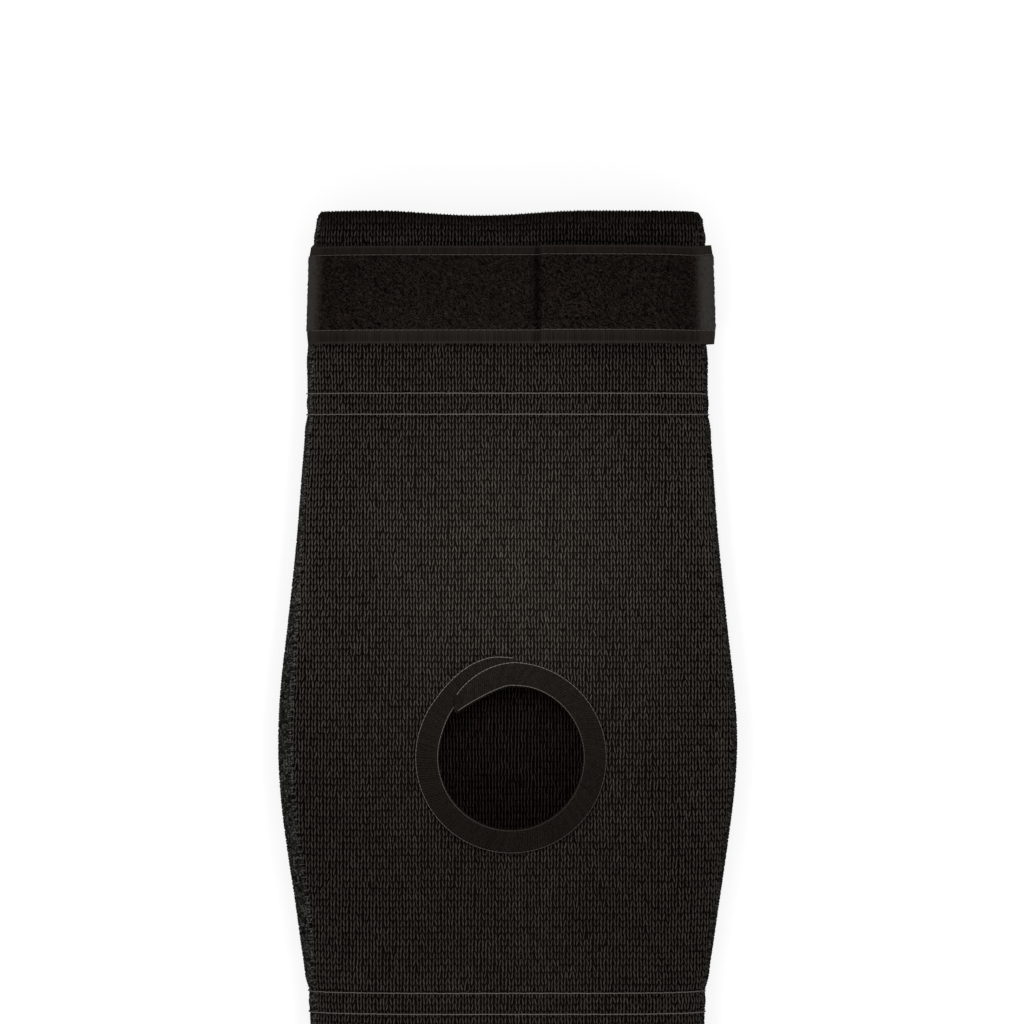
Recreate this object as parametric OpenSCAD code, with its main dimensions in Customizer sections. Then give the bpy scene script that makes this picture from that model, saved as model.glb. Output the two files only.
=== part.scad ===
// Elastic knee brace with an open kneecap and two hook-and-loop straps.
// It lies on its back: +X runs across the leg, +Y towards the thigh
// and +Z out of the front. The origin is on the surface that it lies on,
// under the middle of the brace. Sizes are in millimetres.

/* [Sleeve] */
// Middle of the kneecap opening to the thigh end
thigh_length = 213; // [195:1:235]
// Middle of the kneecap opening to the calf end
calf_length = 171; // [160:1:195]
// Flat width at the widest place, by the kneecap
knee_width = 179.4; // [165:0.2:191]
// How much narrower it is at the thigh hem's stitching
thigh_hem_taper = 22.2; // [15:0.2:30]
// How much narrower again at the thigh end
thigh_end_taper = 4.8; // [0:0.2:9]
// How much narrower than at the knee it is at the calf hem's stitching
calf_hem_taper = 24.2; // [15:0.2:30]
// How much narrower again at the calf end
calf_end_taper = 7; // [0:0.2:10]
// Widest place above the middle of the kneecap opening
widest_above = 5; // [0:1:12]
// Rounded part of the outline above the widest place
thigh_bow = 34; // [20:1:60]
// Rounded part of the outline below the widest place
calf_bow = 57; // [30:1:80]
// Hollow of the outline between the widest place and the thigh hem
thigh_hollow = 1.5; // [0:0.1:3]
// Hollow of the outline between the widest place and the calf hem
calf_hollow = 1; // [0:0.1:3]
// Rise of the front panel over the side seams
crown = 11; // [10:0.5:16]
// Drop of the back panel under the side seams
belly = 8; // [7.5:0.5:12]
// Squareness of the flattened tube, where 2 is an ellipse
flatness = 5; // [4:0.5:6]
// Thickness of the knit
knit_t = 2.2; // [1.6:0.1:2.5]

/* [Hems] */
// Depth of the turned-in hem at each end
hem_depth = 79; // [74:1:84]
// Distance between the two rows of hem stitching
hem_row_gap = 8.2; // [5:0.2:11]
// Dip in the edge of each end
end_dip = 2; // [0:0.5:4]
// Where the dip is, across the leg
end_dip_x = -11; // [-25:1:25]

/* [Kneecap opening] */
// Middle of the opening to the side of the sleeve's middle line
opening_x = 1.4; // [-5:0.2:5]
// Clear diameter inside the bound edge
opening_d = 56; // [50:1:62]
// Width of the binding tape that shows on the front
binding_w = 9.4; // [8:0.2:11]
// Thickness of the binding tape
binding_t = 0.8; // [0.6:0.1:1]
// How far the tape rolls over the edge of the opening
binding_roll = 1.2; // [1:0.1:1.9]
// Angle at which the tape starts to lie over its own other end
lap_start = 87; // [75:1:95]
// Angle at which the upper end of the tape stops
lap_end = 137; // [125:1:150]
// Width left at the upper end of the tape
lap_tip_w = 4.2; // [3:0.2:7]
// How far the lower end strays outside the ring
lap_stray = 1.5; // [0.5:0.1:2]

/* [Straps] */
// Width of the elastic strap
strap_w = 38; // [34:1:42]
// Plain edge beside the loop tape, on the side of the brace's end
end_selvedge = 3.8; // [3:0.2:6]
// Plain edge beside the loop tape, on the side of the knee
knee_selvedge = 5.4; // [3:0.2:7]
// Thickness of the elastic strap
strap_t = 1.3; // [1:0.1:1.8]
// Thickness of the loop tape
loop_t = 1; // [0.8:0.1:1.4]
// Thickness of the hook patch
hook_t = 1; // [0.8:0.1:1.4]
// Thigh end of the sleeve to the thigh strap
thigh_inset = 13.4; // [8:0.2:18]
// Calf end of the sleeve to the calf strap
calf_inset = 13.4; // [8:0.2:18]
// Free end of the strap's tab from the middle line
tab_end = 12.5; // [6:0.5:20]
// Length of the tab that carries the hooks
tab_length = 40; // [32:1:44]
// Clearance between the hooks and the loops under them
fit_gap = 0.3; // [0.2:0.1:0.6]

/* [Stitching] */
// Height of the seam cover above the side seam
seam_rise = 4.4; // [3:0.2:6]
// Height of the seam cover below the side seam
seam_drop = 3; // [2.4:0.2:4]
// Thickness of the seam cover
seam_t = 0.5; // [0.4:0.1:0.7]
// Thickness of a row of stitching
thread_d = 0.5; // [0.4:0.1:0.6]
// Middle of each bar tack from the middle line of the back
tack_x = 22; // [16:1:30]
// Length of a bar tack
tack_length = 10; // [6:0.5:14]

/* [Hidden] */
$fn = 96;

// Layers that lie on one another are kept this far apart
skin = 0.02;

// Places along the leg
thigh_end_y = (thigh_length + calf_length) / 2;
calf_end_y = -thigh_end_y;
opening_y = calf_end_y + calf_length;
widest_y = opening_y + widest_above;
thigh_hem_y = thigh_end_y - hem_depth;
calf_hem_y = calf_end_y + hem_depth;

// Half widths of the outline
knee_half = knee_width / 2;
thigh_hem_half = knee_half - thigh_hem_taper / 2;
thigh_end_half = thigh_hem_half - thigh_end_taper / 2;
calf_hem_half = knee_half - calf_hem_taper / 2;
calf_end_half = calf_hem_half - calf_end_taper / 2;

// Layers of a strap, as distances outside the sleeve
strap_gap = seam_t + 0.2;
band_out = strap_gap + strap_t;
loop_in = band_out + skin;
loop_out = loop_in + loop_t;
hook_in = loop_out + fit_gap;
hook_out = hook_in + hook_t;
tab_lift = hook_out + skin - strap_gap;

// The brace rests on the middle facets of the straps' back runs
rest_u = 0.3;
rest_sin = sqrt(1 - pow(rest_u, flatness));
seam_z = (belly + loop_out) * rest_sin;

// Kneecap opening
opening_r = opening_d / 2;
binding_r = opening_r + binding_w;
front_z = seam_z + crown;
leaf_z = front_z + skin;
leaf_top = leaf_z + binding_t;
wall_r = (binding_r + abs(opening_x)) / (knee_half - knit_t - 1);
inner_z = seam_z + (crown - knit_t) * sqrt(1 - pow(wall_r, flatness)) - skin;
fold_h = leaf_top - inner_z + binding_t;
fold_r = opening_r + binding_roll;
panel_hole_r = opening_r + binding_t + 0.3;

// Straps: the knee side and the end side of each, along the leg
thigh_strap_ys = [thigh_end_y - thigh_inset - strap_w, thigh_end_y - thigh_inset];
calf_strap_ys = [calf_end_y + calf_inset, calf_end_y + calf_inset + strap_w];

function mix(a, b, f) = a + (b - a) * f;
function clamp01(f) = min(1, max(0, f));
function smooth(f) = let (c = clamp01(f)) c * c * (3 - 2 * c);
function reversed(list) = [for (i = [len(list) - 1 : -1 : 0]) list[i]];

// Outline from the widest place to a hem: a parabola, then its tangent,
// drawn in a little half way
function flank(e, reach, drop, bow, hollow) =
    knee_half - hollow * pow(sin(180 * e / reach), 2)
    - drop * (e < bow ? e * e / bow : 2 * e - bow) / (2 * reach - bow);

// Half width of the sleeve at a place along the leg
function half_width(y) =
    y > thigh_hem_y ? mix(thigh_hem_half, thigh_end_half, (y - thigh_hem_y) / hem_depth)
    : y < calf_hem_y ? mix(calf_hem_half, calf_end_half, (calf_hem_y - y) / hem_depth)
    : y > widest_y
    ? flank(y - widest_y, thigh_hem_y - widest_y, thigh_hem_taper / 2, thigh_bow, thigh_hollow)
    : flank(widest_y - y, widest_y - calf_hem_y, calf_hem_taper / 2, calf_bow, calf_hollow);

// The sleeve's section is a flat oval. Angles run round the leg from the
// right side seam over the front; u is the place across as part of the width.
function u_of(phi) = sign(cos(phi)) * pow(abs(cos(phi)), 2 / flatness);
function phi_of(u) = acos(sign(u) * pow(abs(u), flatness / 2));

// Point of the wall, or of a layer that is grown from it
function wall_point(phi, y, grow) = [
    (half_width(y) + grow) * u_of(phi),
    y,
    seam_z + ((sin(phi) >= 0 ? crown : belly) + grow) * sin(phi)
];

// Angles at which every layer has its edges, so that layers stay parallel
quarter = concat([for (a = [10 : 10 : 60]) a],
                 [for (u = [0.6, 0.45, rest_u]) phi_of(u)]);
ring = concat(
    quarter,
    [for (a = reversed(quarter)) 180 - a],
    [180],
    [for (a = quarter) 180 + a],
    [for (a = reversed(quarter)) 360 - a]
);
function ring_between(lo, hi) =
    concat([lo], [for (a = ring) if (a > lo + 0.5 && a < hi - 0.5) a], [hi]);

// Curved plate between two layers of the wall
function index(k, i, j, rows, cols) = (k * rows + i) * cols + j;
function quad(a, b, c, d) = [[a, b, c], [a, c, d]];
function plate_faces(rows, cols) = concat(
    [for (i = [0 : rows - 2], j = [0 : cols - 2]) each quad(
        index(1, i, j, rows, cols), index(1, i, j + 1, rows, cols),
        index(1, i + 1, j + 1, rows, cols), index(1, i + 1, j, rows, cols))],
    [for (i = [0 : rows - 2], j = [0 : cols - 2]) each quad(
        index(0, i, j, rows, cols), index(0, i + 1, j, rows, cols),
        index(0, i + 1, j + 1, rows, cols), index(0, i, j + 1, rows, cols))],
    [for (j = [0 : cols - 2]) each quad(
        index(0, 0, j, rows, cols), index(0, 0, j + 1, rows, cols),
        index(1, 0, j + 1, rows, cols), index(1, 0, j, rows, cols))],
    [for (j = [0 : cols - 2]) each quad(
        index(0, rows - 1, j, rows, cols), index(1, rows - 1, j, rows, cols),
        index(1, rows - 1, j + 1, rows, cols), index(0, rows - 1, j + 1, rows, cols))],
    [for (i = [0 : rows - 2]) each quad(
        index(0, i, 0, rows, cols), index(1, i, 0, rows, cols),
        index(1, i + 1, 0, rows, cols), index(0, i + 1, 0, rows, cols))],
    [for (i = [0 : rows - 2]) each quad(
        index(0, i, cols - 1, rows, cols), index(0, i + 1, cols - 1, rows, cols),
        index(1, i + 1, cols - 1, rows, cols), index(1, i, cols - 1, rows, cols))]
);

module plate(ys, phis, inside, outside, shift = function(phi, y) 0) {
    points = [for (k = [0, 1], y = ys, phi = phis)
        wall_point(phi, y, k == 0 ? inside(phi, y) : outside(phi, y))
        + [0, shift(phi, y), 0]];
    polyhedron(points, plate_faces(len(ys), len(phis)));
}

// The knit: one layer, two in a hem, with a rounded fold at each end
fold_angle = 80;
function end_distance(y) = min(thigh_end_y - y, y - calf_end_y);
function fold_in(y) = let (d = end_distance(y) / knit_t)
    d >= sin(fold_angle) ? 0 : knit_t * (1 - cos(asin(sin(fold_angle) - d)));
function knit_layers(y) = y > thigh_hem_y || y < calf_hem_y ? 2 : 1;
knit_outside = function(phi, y) -fold_in(y);
knit_inside = function(phi, y) fold_in(y) - knit_layers(y) * knit_t;

// The ends dip a little where the edge sags
dip_run = 42;
dip_depth = 12;
knit_shift = function(phi, y)
    let (away = (half_width(y) * u_of(phi) - end_dip_x) / dip_run,
         near = clamp01(1 - end_distance(y) / dip_depth))
    abs(away) > 1 ? 0 : -sign(y) * end_dip * pow(cos(90 * away), 2) * near * near;

fold_steps = [80, 55, 30, 0];
end_steps = concat([for (a = fold_steps) knit_t * (sin(fold_angle) - sin(a))],
                   [5, 8, dip_depth, hem_depth / 2, hem_depth - 0.25]);
knit_ys = concat(
    [for (d = end_steps) calf_end_y + d],
    [for (i = [0 : 14]) mix(calf_hem_y + 0.25, thigh_hem_y - 0.25, i / 14)],
    [for (d = reversed(end_steps)) thigh_end_y - d]
);
front_quarter = concat([0], quarter, [phi_of(0.15)]);
front_phis = concat(front_quarter, [90], [for (a = reversed(front_quarter)) 180 - a]);
back_phis = [for (a = front_phis) a + 180];

module front_panel() {
    color([0.16, 0.14, 0.13])
    difference() {
        plate(knit_ys, front_phis, knit_inside, knit_outside, knit_shift);
        translate([opening_x, opening_y, seam_z + crown / 4])
            cylinder(r = panel_hole_r, h = crown);
    }
}

module back_panel() {
    color([0.15, 0.13, 0.12])
    plate(knit_ys, back_phis, knit_inside, knit_outside, knit_shift);
}

// Covered side seams
seam_up = asin(seam_rise / crown);
seam_down = asin(seam_drop / belly);
seam_ys = concat([calf_end_y + knit_t],
                 [for (y = knit_ys) if (end_distance(y) > 2 * knit_t + 1) y],
                 [thigh_end_y - knit_t]);
side_ring = concat([for (a = reversed(quarter)) -a], [0], quarter);
seam_phis = concat([-seam_down],
                   [for (a = side_ring) if (a > 1 - seam_down && a < seam_up - 1) a],
                   [seam_up]);

module side_seam(phis) {
    color([0.24, 0.24, 0.22])
    plate(seam_ys, phis, function(phi, y) skin, function(phi, y) seam_t);
}

module left_side_seam() {
    side_seam([for (a = reversed(seam_phis)) 180 - a]);
}

module right_side_seam() {
    side_seam(seam_phis);
}

// Twin rows of stitching that hold the turned-in hems
module hem_row(y) {
    ys = [y - thread_d / 2, y + thread_d / 2];
    plate(ys, ring_between(seam_up + 2, 178 - seam_up),
          function(phi, y) skin, function(phi, y) thread_d);
    plate(ys, ring_between(182 + seam_down, 358 - seam_down),
          function(phi, y) skin, function(phi, y) thread_d);
}

module thigh_hem_stitching() {
    color([0.42, 0.4, 0.37])
    for (y = [thigh_hem_y, thigh_hem_y + hem_row_gap]) hem_row(y);
}

module calf_hem_stitching() {
    color([0.42, 0.4, 0.37])
    for (y = [calf_hem_y, calf_hem_y - hem_row_gap]) hem_row(y);
}

// Tape folded over the edge of the kneecap opening, its ends lapped
function polar(r, a) = [r * cos(a), r * sin(a)];
function stray_r(a) =
    binding_r - 0.3
    + (lap_stray + 0.3) * (1 - smooth((a - lap_start) / (1.5 * (lap_end - lap_start))));
function lap_outer_r(f) = mix(binding_r - 0.2, opening_r + lap_tip_w, pow(f, 1.4));
function lap_inner_r(f) = opening_r - 1.2 * sin(140 * f);

module binding_fold_section() {
    difference() {
        union() {
            translate([fold_r, leaf_top - fold_h / 2])
                scale([2 * binding_roll / fold_h, 1])
                circle(d = fold_h);
            translate([fold_r, leaf_z])
                square([binding_r - fold_r, binding_t]);
            translate([fold_r, inner_z - binding_t])
                square([binding_r - 1 - fold_r, binding_t]);
        }
        translate([panel_hole_r - 0.1, inner_z])
            square([binding_w, leaf_z - inner_z]);
    }
}

module kneecap_binding() {
    stray_end = lap_start + 1.5 * (lap_end - lap_start);
    stray_angles = [for (i = [0 : 16]) mix(lap_start, stray_end, i / 16)];
    tuck = 0.06;
    color([0.13, 0.12, 0.11])
    translate([opening_x, opening_y, 0]) {
        rotate_extrude()
            binding_fold_section();
        translate([0, 0, leaf_z + tuck])
            linear_extrude(binding_t - 2 * tuck)
            polygon(concat([for (a = stray_angles) polar(stray_r(a), a)],
                           [for (a = reversed(stray_angles)) polar(binding_r - 1, a)]));
        translate([0, 0, leaf_top - tuck])
            linear_extrude(binding_t + tuck)
            polygon(concat(
                [for (i = [0 : 12]) polar(lap_outer_r(i / 12), mix(lap_start, lap_end - 4, i / 12))],
                [for (i = [12 : -1 : 0]) polar(lap_inner_r(i / 12), mix(lap_start, lap_end + 4, i / 12))]));
    }
}

module kneecap_binding_stitching() {
    from = lap_end + 8;
    color([0.42, 0.4, 0.37])
    translate([opening_x, opening_y, leaf_top + thread_d / 2 + skin])
    rotate([0, 0, from])
        for (r = [fold_r + 0.5, binding_r - 0.5])
            rotate_extrude(angle = 360 + lap_start - 2 - from)
            translate([r, 0])
            circle(d = thread_d);
}

// Straps. The band goes from under the tab round the left side and the back
// to the right side; the flap folds there; the tab peels off at its root.
function strap_half(ys) = half_width((ys[0] + ys[1]) / 2) + strap_gap;
function strap_phi(x, ys) = phi_of(x / strap_half(ys));
split_x = tab_end + tab_length;
side_slit = 1.5;
root_slit = 0.25;
function band_phis(ys) = ring_between(strap_phi(split_x - 3, ys), 360 - side_slit);
function flap_phis(ys) = ring_between(side_slit, strap_phi(split_x + root_slit, ys));
function tab_phis(ys) = concat(strap_phi(split_x - root_slit, ys), hook_phis(ys), strap_phi(tab_end, ys));
function hook_phis(ys) = ring_between(strap_phi(split_x - 5, ys), strap_phi(tab_end + 1.5, ys));

// The flap climbs from the side seam to the layer over the loops
function lift_at(phi, ys) =
    let (low = u_of(13), high = (split_x + 1) / strap_half(ys))
    tab_lift * smooth((low - u_of(phi)) / (low - high));

function loop_ys(ys) =
    ys[0] > 0 ? [ys[0] + knee_selvedge, ys[1] - end_selvedge]
    : [ys[0] + end_selvedge, ys[1] - knee_selvedge];
function row_ys(ys) = let (loops = loop_ys(ys)) [
    [loops[0] - thread_d - 0.1, loops[0] - 0.1],
    [loops[1] + 0.1, loops[1] + thread_d + 0.1]
];
function tack_ys(ys) = let (loops = loop_ys(ys)) [
    [ys[0] + 0.5, loops[0] - thread_d - 0.5],
    [loops[1] + thread_d + 0.5, ys[1] - 0.5]
];

flat = function(phi) 0;

module strap_layer(ys, phis, inside, outside, lift) {
    plate(ys, phis,
          function(phi, y) inside + lift(phi),
          function(phi, y) outside + lift(phi));
}

module strap_band(ys, phis, lift) {
    color([0.19, 0.17, 0.15])
    strap_layer(ys, phis, strap_gap, band_out, lift);
}

module strap_loop_tape(ys, phis, lift) {
    color([0.11, 0.1, 0.09])
    strap_layer(loop_ys(ys), phis, loop_in, loop_out, lift);
}

module strap_stitching(ys, phis, lift) {
    color([0.42, 0.4, 0.37])
    for (row = row_ys(ys)) strap_layer(row, phis, loop_in, band_out + thread_d, lift);
}

module strap_bar_tacks(ys) {
    color([0.42, 0.4, 0.37])
    for (row = tack_ys(ys), side = [-1, 1])
        let (ends = [for (f = [-0.5, 0.5]) 360 - strap_phi(side * tack_x + f * tack_length, ys)])
            strap_layer(row, ends, loop_in, band_out + thread_d, flat);
}

module tab_hook_patch(ys) {
    color([0.09, 0.09, 0.09])
    strap_layer(loop_ys(ys), hook_phis(ys), hook_in, hook_out, flat);
}

raised = function(phi) tab_lift;
thigh_rise = function(phi) lift_at(phi, thigh_strap_ys);
calf_rise = function(phi) lift_at(phi, calf_strap_ys);

module thigh_strap_band() { strap_band(thigh_strap_ys, band_phis(thigh_strap_ys), flat); }
module thigh_strap_loop_tape() { strap_loop_tape(thigh_strap_ys, band_phis(thigh_strap_ys), flat); }
module thigh_strap_stitching() { strap_stitching(thigh_strap_ys, band_phis(thigh_strap_ys), flat); }
module thigh_strap_bar_tacks() { strap_bar_tacks(thigh_strap_ys); }
module thigh_flap_band() { strap_band(thigh_strap_ys, flap_phis(thigh_strap_ys), thigh_rise); }
module thigh_flap_loop_tape() { strap_loop_tape(thigh_strap_ys, flap_phis(thigh_strap_ys), thigh_rise); }
module thigh_flap_stitching() { strap_stitching(thigh_strap_ys, flap_phis(thigh_strap_ys), thigh_rise); }
module thigh_tab_band() { strap_band(thigh_strap_ys, tab_phis(thigh_strap_ys), raised); }
module thigh_tab_loop_tape() { strap_loop_tape(thigh_strap_ys, tab_phis(thigh_strap_ys), raised); }
module thigh_tab_stitching() { strap_stitching(thigh_strap_ys, tab_phis(thigh_strap_ys), raised); }
module thigh_tab_hook_patch() { tab_hook_patch(thigh_strap_ys); }

module calf_strap_band() { strap_band(calf_strap_ys, band_phis(calf_strap_ys), flat); }
module calf_strap_loop_tape() { strap_loop_tape(calf_strap_ys, band_phis(calf_strap_ys), flat); }
module calf_strap_stitching() { strap_stitching(calf_strap_ys, band_phis(calf_strap_ys), flat); }
module calf_strap_bar_tacks() { strap_bar_tacks(calf_strap_ys); }
module calf_flap_band() { strap_band(calf_strap_ys, flap_phis(calf_strap_ys), calf_rise); }
module calf_flap_loop_tape() { strap_loop_tape(calf_strap_ys, flap_phis(calf_strap_ys), calf_rise); }
module calf_flap_stitching() { strap_stitching(calf_strap_ys, flap_phis(calf_strap_ys), calf_rise); }
module calf_tab_band() { strap_band(calf_strap_ys, tab_phis(calf_strap_ys), raised); }
module calf_tab_loop_tape() { strap_loop_tape(calf_strap_ys, tab_phis(calf_strap_ys), raised); }
module calf_tab_stitching() { strap_stitching(calf_strap_ys, tab_phis(calf_strap_ys), raised); }
module calf_tab_hook_patch() { tab_hook_patch(calf_strap_ys); }

// Where the straps bend: the flap at the outermost line of the side,
// the tab on the outer face of its root
function flap_axis(ys) = [
    max(half_width(ys[0]), half_width(ys[1])) + loop_out, (ys[0] + ys[1]) / 2, seam_z];
function tab_axis(ys) =
    let (wide = half_width(ys[0]) > half_width(ys[1]) ? ys[0] : ys[1],
         p = wall_point(strap_phi(split_x, ys), wide, loop_out + tab_lift))
    [p.x, (ys[0] + ys[1]) / 2, p.z];
echo(thigh_flap_axis = flap_axis(thigh_strap_ys), thigh_tab_axis = tab_axis(thigh_strap_ys));
echo(calf_flap_axis = flap_axis(calf_strap_ys), calf_tab_axis = tab_axis(calf_strap_ys));

front_panel();
back_panel();
left_side_seam();
right_side_seam();
thigh_hem_stitching();
calf_hem_stitching();
kneecap_binding();
kneecap_binding_stitching();
thigh_strap_band();
thigh_strap_loop_tape();
thigh_strap_stitching();
thigh_strap_bar_tacks();
thigh_flap_band();
thigh_flap_loop_tape();
thigh_flap_stitching();
thigh_tab_band();
thigh_tab_loop_tape();
thigh_tab_stitching();
thigh_tab_hook_patch();
calf_strap_band();
calf_strap_loop_tape();
calf_strap_stitching();
calf_strap_bar_tacks();
calf_flap_band();
calf_flap_loop_tape();
calf_flap_stitching();
calf_tab_band();
calf_tab_loop_tape();
calf_tab_stitching();
calf_tab_hook_patch();
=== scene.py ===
# %% [markdown]
# # An elastic knee brace with an open kneecap
# The real brace is a tube of coarse elastic knit, sewn from a front and a back panel, with a
# bound hole for the kneecap and a hook-and-loop strap near each end. Here it lies flat on its
# back. The CAD solids stay as the hidden skeleton, and every soft piece is rebuilt over them:
# the cloth is made flat, as on a cutting table, and then wrapped round the sleeve's section.

# %% Load the frame
import math

import bmesh
import bpy
import numpy as np
from mathutils import Matrix, Vector


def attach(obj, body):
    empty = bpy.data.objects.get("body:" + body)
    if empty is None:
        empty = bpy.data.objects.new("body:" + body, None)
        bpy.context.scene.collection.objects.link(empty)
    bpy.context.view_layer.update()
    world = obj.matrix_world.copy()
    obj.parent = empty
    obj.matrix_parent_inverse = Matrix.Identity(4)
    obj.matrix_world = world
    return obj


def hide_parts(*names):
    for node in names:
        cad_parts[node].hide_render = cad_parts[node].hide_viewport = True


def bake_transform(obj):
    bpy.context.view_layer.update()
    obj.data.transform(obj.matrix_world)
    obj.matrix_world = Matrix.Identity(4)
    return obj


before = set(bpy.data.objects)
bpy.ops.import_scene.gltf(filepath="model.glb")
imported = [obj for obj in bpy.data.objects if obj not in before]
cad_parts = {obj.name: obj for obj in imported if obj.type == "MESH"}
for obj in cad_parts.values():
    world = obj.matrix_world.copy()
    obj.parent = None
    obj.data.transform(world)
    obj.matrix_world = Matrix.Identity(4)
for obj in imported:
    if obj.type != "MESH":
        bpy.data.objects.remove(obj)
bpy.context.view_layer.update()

# %% [markdown]
# ## The sleeve's outline
# Seen from the front, the sleeve is widest by the kneecap and narrows to both ends. It could be
# a drawn curve, but a formula gives the width at any place, and the cloth, the seams and the
# straps all ask for it. The sizes are the CAD part's, in millimetres, so the cloth lands where
# its solids are.

# %% Outline of the sleeve
MM = 0.001
end_y, hem_y = 192.0, 113.0
hem_depth = end_y - hem_y
widest_y, knee_half = -16.0, 89.7
thigh_flank = {"drop": 11.1, "bow": 34.0, "hollow": 1.5}
calf_flank = {"drop": 12.1, "bow": 57.0, "hollow": 1.0}
thigh_hem_half, thigh_end_loss = 78.6, 2.4
calf_hem_half, calf_end_loss = 77.6, 3.5
corner_r, corner_from, corner_run = 1.4, 2.6, 2.2


def flank(away, reach, drop, bow, hollow):
    """Half width beside the widest line: bowed at first, then straight, and a little hollow."""
    drawn_in = hollow * np.sin(math.pi * away / reach) ** 2
    fall = np.where(away < bow, away ** 2 / bow, 2 * away - bow)
    return knee_half - drawn_in - drop * fall / (2 * reach - bow)


def half_width(y):
    """Half of the sleeve's width at a place along the leg; the ends have rounded corners."""
    y = np.asarray(y, float)
    thigh = flank(y - widest_y, hem_y - widest_y, **thigh_flank)
    calf = flank(widest_y - y, widest_y + hem_y, **calf_flank)
    sleeve = np.where(y > widest_y, thigh, calf)
    past_hem = (np.abs(y) - hem_y) / hem_depth
    thigh_end = thigh_hem_half - thigh_end_loss * past_hem
    calf_end = calf_hem_half - calf_end_loss * past_hem
    width = np.where(y > hem_y, thigh_end, np.where(y < -hem_y, calf_end, sleeve))
    corner = np.clip((np.abs(y) - end_y + corner_from) / corner_run, 0, 0.97)
    return width - corner_r * (1 - np.sqrt(1 - corner ** 2))


print("half widths", [round(float(half_width(y)), 1) for y in (-190, -hem_y, widest_y, hem_y, 190)])

# %% [markdown]
# ## Cloth coordinates
# Round the leg the section is a flat oval. Cloth is easiest to make flat, with one coordinate
# across, one along and one through its thickness, so a table turns the distance from the side
# seam, measured round the oval, into a place on it. The same wrap then serves the panels,
# every stitch and the seams.

# %% Table of the section
crown, belly, seam_z = 11.0, 8.0, 11.0066
oval = 5
table_halves = np.linspace(70, 92, 12)
table_reach = np.linspace(0, 100, 801)


def section_table(rise):
    """For each half width, the place across and the height as shares, by distance from the seam."""
    turn = np.radians(np.concatenate([np.linspace(0, 60, 500), 90 - np.geomspace(29.9, 1e-7, 700)]))
    rows = []
    for half in table_halves:
        x, z = half * np.cos(turn) ** (2 / oval), rise * np.sin(turn)
        reach = np.concatenate([[0], np.cumsum(np.hypot(np.diff(x), np.diff(z)))])
        past_middle = (reach[-1] - table_reach) / half
        u = np.where(table_reach < reach[-1], np.interp(table_reach, reach, x / half), past_middle)
        rows.append((u, np.interp(table_reach, reach, np.sin(turn)), reach[-1]))
    return [np.array(column) for column in zip(*rows)]


sections = {"front": (crown, 1, *section_table(crown)), "back": (belly, -1, *section_table(belly))}


def panel_half(y, panel):
    """Distance from the middle line to the side seam, measured over the panel."""
    return np.interp(half_width(y), table_halves, sections[panel][4])


def look_up(table, half, reach):
    """A section table's value between its rows and columns."""
    i = (half - table_halves[0]) / (table_halves[1] - table_halves[0])
    j = reach / (table_reach[1] - table_reach[0])
    i, j = np.clip(i, 0, len(table_halves) - 1.001), np.clip(j, 0, len(table_reach) - 1.001)
    i0, j0 = i.astype(int), j.astype(int)
    fi, fj = i - i0, j - j0
    near = table[i0, j0] * (1 - fj) + table[i0, j0 + 1] * fj
    far = table[i0 + 1, j0] * (1 - fj) + table[i0 + 1, j0 + 1] * fj
    return near * (1 - fi) + far * fi


print("panel half at the knee", round(float(panel_half(widest_y, "front")), 1), "mm")

# %% [markdown]
# ## Hang of the cloth
# Knit is never quite flat. The hem rows pull grooves, the doubled hem puffs between them, the
# strap presses the sleeve in and the cloth swells beside it, and slow waves run over the rest.
# A simulation would find such shapes by chance; written as small heights they stay where the
# real brace has them, and the panels and their stitches share them.

# %% Relief of the cloth
hem_rows = (hem_y, 121.2)
strap_low, strap_high = 140.6, 178.6
wave_slow, wave_quick, hem_groove, strap_press = 0.28, 0.16, 0.6, 0.25
# Swells across the sleeve: place along the leg, spread and height.
swells = ((117.1, 2.8, 0.45), (108, 4, 0.5), (134, 5, 0.4), (strap_high + 3.5, 4, 0.9))


def smooth(f):
    """0 below 0, 1 above 1, and a soft step between."""
    f = np.clip(f, 0, 1)
    return f * f * (3 - 2 * f)


def bell(at, place, spread):
    return np.exp(-((at - place) / spread) ** 2)


def relief(s, y):
    along = np.abs(y)
    height = wave_slow * np.sin(s / 17 + y / 31) * np.sin(y / 23 - s / 41)
    height = height + wave_quick * np.sin(s / 9 - y / 13 + 2)
    inner = smooth((half_width(y) + 2 - np.abs(s)) / 12)
    for row in hem_rows:
        height = height - hem_groove * inner * bell(along, row, 1.0)
    for place, spread, swell in swells:
        height = height + swell * bell(along, place, spread)
    drawn = 0.5 * bell(along, hem_y, 8) - 0.5 * bell(y, 40, 25)
    drawn = drawn + 1.5 * (s < 0) * smooth((along - strap_high) / 1.5)
    height = height - (1 - inner) * drawn
    pressed = smooth((along - strap_low + 0.5) / 2) * smooth((strap_high + 0.5 - along) / 2)
    return height * (1 - pressed) - (strap_press + 0.8 * (1 - inner) * (s < 0)) * pressed


print("groove of a hem row", round(float(relief(np.zeros(1), np.full(1, hem_y))[0]), 2), "mm")

# %% Wrap round the sleeve
knit_t = 2.2
fold_y = end_y - 1.5
dip_x, dip_half, dip_reach, dip_depth = -11, 42, 12, 2


def fold_over(tau):
    """Length along the cloth to a place along the leg: out, round the fold and back inside."""
    past = np.abs(tau) - fold_y
    turn = np.clip(past / (knit_t / 2), 0, math.pi)
    back = np.clip(past - math.pi * knit_t / 2, 0, None)
    side = np.sign(tau)
    y = side * (np.minimum(np.abs(tau), fold_y) + knit_t / 2 * np.sin(turn) - back)
    return y, turn, side


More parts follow.
